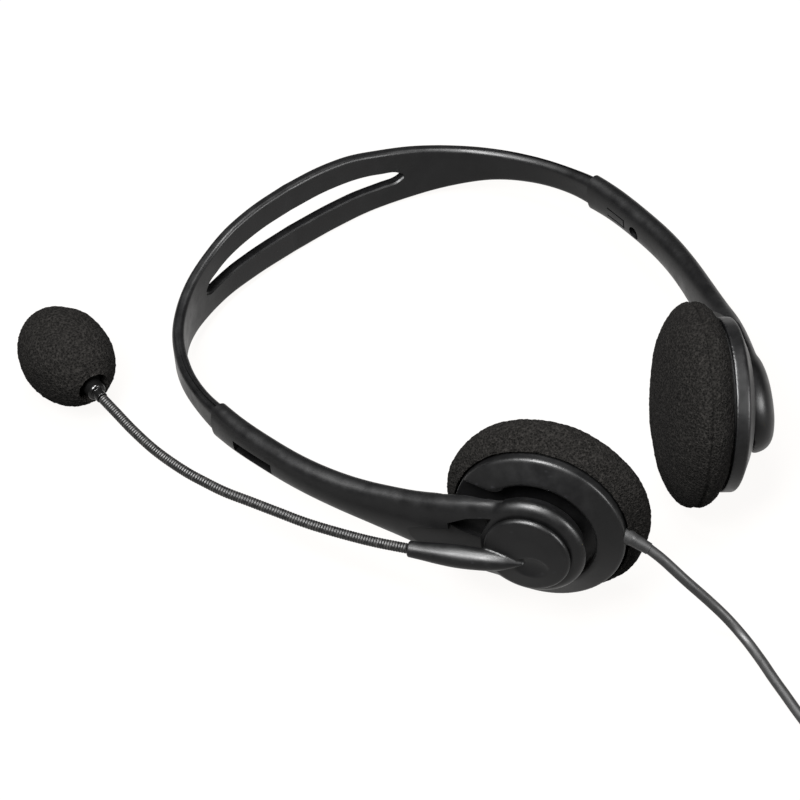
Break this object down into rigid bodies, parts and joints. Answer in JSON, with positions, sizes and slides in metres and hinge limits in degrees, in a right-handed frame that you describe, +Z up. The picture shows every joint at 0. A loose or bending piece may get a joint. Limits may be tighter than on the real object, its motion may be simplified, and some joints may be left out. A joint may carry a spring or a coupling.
{
  "type": "headset",
  "caption": "Light on-ear stereo headset with a slotted sprung headband, pull-out arms, foam ear pads on ball joints, a swivelling gooseneck microphone boom and a corded plug.",
  "frame": {"origin": "bottom centre of the headset's bounding box as it lies on a table, cord and plug left out", "axes": "+Z up from the table; +Y from the ear pieces towards the crown of the headband; +X from the microphone (left) ear piece to the other"},
  "size_m": [0.1612, 0.2778, 0.0544],
  "materials": {
    "black_plastic": "satin black moulded plastic",
    "inner_plastic": "matt black moulded plastic",
    "foam": "open-cell charcoal foam",
    "cord_pvc": "matt dark grey PVC",
    "gooseneck_sleeve": "fine-ribbed black sleeve",
    "tie_fabric": "black hook-and-loop tie",
    "nylon": "natural nylon",
    "film": "thin film",
    "steel": "plain steel",
    "gold": "gold-plated contacts"
  },
  "bodies": {
    "headband": {"headband": "black_plastic"},
    "left_arm": {"left_arm_shell": "black_plastic", "left_pod_cover": "inner_plastic", "left_ball_stud": "steel"},
    "left_socket": {"left_socket_liner": "nylon"},
    "left_ear": {"left_ear_shell": "black_plastic", "left_baffle": "inner_plastic", "left_driver_frame": "inner_plastic", "left_driver_diaphragm": "film", "left_driver_magnet": "steel", "left_ear_cushion": "foam", "cord_strain_relief": "cord_pvc", "cord_lead": "cord_pvc", "cord_coil": "cord_pvc", "coil_tie": "tie_fabric", "cord_tail": "cord_pvc", "plug_strain_relief": "cord_pvc", "plug_body": "cord_pvc", "plug_contacts": "gold"},
    "right_arm": {"right_arm_shell": "black_plastic", "right_pod_cover": "inner_plastic", "right_ball_stud": "steel"},
    "right_socket": {"right_socket_liner": "nylon"},
    "right_ear": {"right_ear_shell": "black_plastic", "right_baffle": "inner_plastic", "right_driver_frame": "inner_plastic", "right_driver_diaphragm": "film", "right_driver_magnet": "steel", "right_ear_cushion": "foam"},
    "boom": {"boom_hub": "black_plastic", "boom_spring_washer": "steel", "boom_screw": "steel", "gooseneck_lower": "gooseneck_sleeve"},
    "gooseneck_mid": {"gooseneck_middle": "gooseneck_sleeve"},
    "gooseneck_end": {"gooseneck_upper": "gooseneck_sleeve", "mic_housing": "black_plastic", "mic_capsule": "steel", "mic_windscreen": "foam"}
  },
  "joints": [
    {"name": "left_arm_slide", "type": "slide", "parent": "headband", "child": "left_arm", "axis": [0.0731, -0.9922, 0.1008], "range_m": [0, 0.024]},
    {"name": "left_ear_tilt", "type": "hinge", "parent": "left_arm", "child": "left_socket", "pos_m": [-0.02217, -0.06552, 0.02795], "axis": [-0.5296, 0.8438, -0.0863], "range_deg": [-11, 11]},
    {"name": "left_ear_turn", "type": "hinge", "parent": "left_socket", "child": "left_ear", "pos_m": [-0.02217, -0.06552, 0.02795], "axis": [0.0349, 0.1234, 0.9917], "range_deg": [-8, 6]},
    {"name": "right_arm_slide", "type": "slide", "parent": "headband", "child": "right_arm", "axis": [-0.0745, -0.9916, 0.1059], "range_m": [0, 0.024]},
    {"name": "right_ear_tilt", "type": "hinge", "parent": "right_arm", "child": "right_socket", "pos_m": [0.04391, -0.0658, 0.02566], "axis": [0.5296, 0.8393, -0.123], "range_deg": [-21, 0.5]},
    {"name": "right_ear_turn", "type": "hinge", "parent": "right_socket", "child": "right_ear", "pos_m": [0.04391, -0.0658, 0.02566], "axis": [-0.1888, -0.0248, -0.9817], "range_deg": [-8, 6]},
    {"name": "boom_swivel", "type": "hinge", "parent": "left_arm", "child": "boom", "pos_m": [-0.03099, -0.07095, 0.02894], "axis": [0.8475, 0.5222, -0.0948], "range_deg": [-140, 140]},
    {"name": "gooseneck_bend_lower", "type": "hinge", "parent": "boom", "child": "gooseneck_mid", "pos_m": [-0.06314, -0.0131, 0.01853], "axis": [0.0349, 0.1234, 0.9917], "range_deg": [-6, 35]},
    {"name": "gooseneck_bend_upper", "type": "hinge", "parent": "gooseneck_mid", "child": "gooseneck_end", "pos_m": [-0.07215, 0.02385, 0.0153], "axis": [-0.8475, -0.5222, 0.0948], "range_deg": [-30, 30]}
  ]
}
